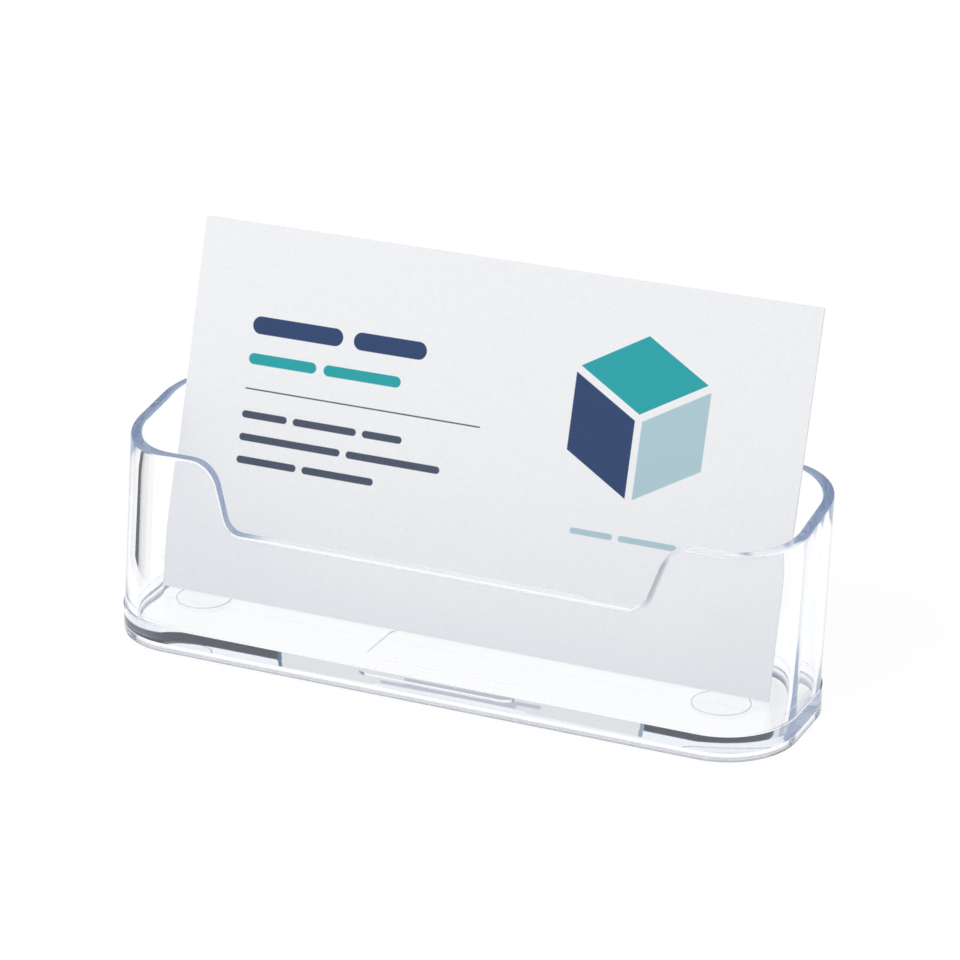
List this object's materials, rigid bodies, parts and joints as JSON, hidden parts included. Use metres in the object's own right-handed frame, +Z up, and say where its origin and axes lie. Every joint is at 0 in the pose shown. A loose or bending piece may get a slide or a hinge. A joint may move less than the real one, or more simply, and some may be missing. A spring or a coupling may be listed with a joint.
{
  "type": "business card holder",
  "caption": "Clear moulded desk tray with rounded corners, sloping rim and a wide finger cut-out in front, holding a leaning printed card that lifts out.",
  "frame": {"origin": "on the desk, at the bottom centre of the whole stand with its card leaning in place", "axes": "+X to the right along the card's width, +Y to the back, +Z up; the finger cut-out faces -Y"},
  "size_m": [0.0964, 0.0298, 0.0515],
  "materials": {
    "clear_plastic": "clear, polished moulding",
    "clear_pad": "clear soft disc",
    "card_stock": "smooth white card with a made-up print"
  },
  "bodies": {
    "stand": {"card_tray": "clear_plastic", "pad_left": "clear_pad", "pad_right": "clear_pad"},
    "card": {"business_card": "card_stock"}
  },
  "joints": [
    {"name": "card_lift", "type": "slide", "parent": "stand", "child": "card", "axis": [0, 0.308, 0.9514], "range_m": [0, 0.04]}
  ]
}
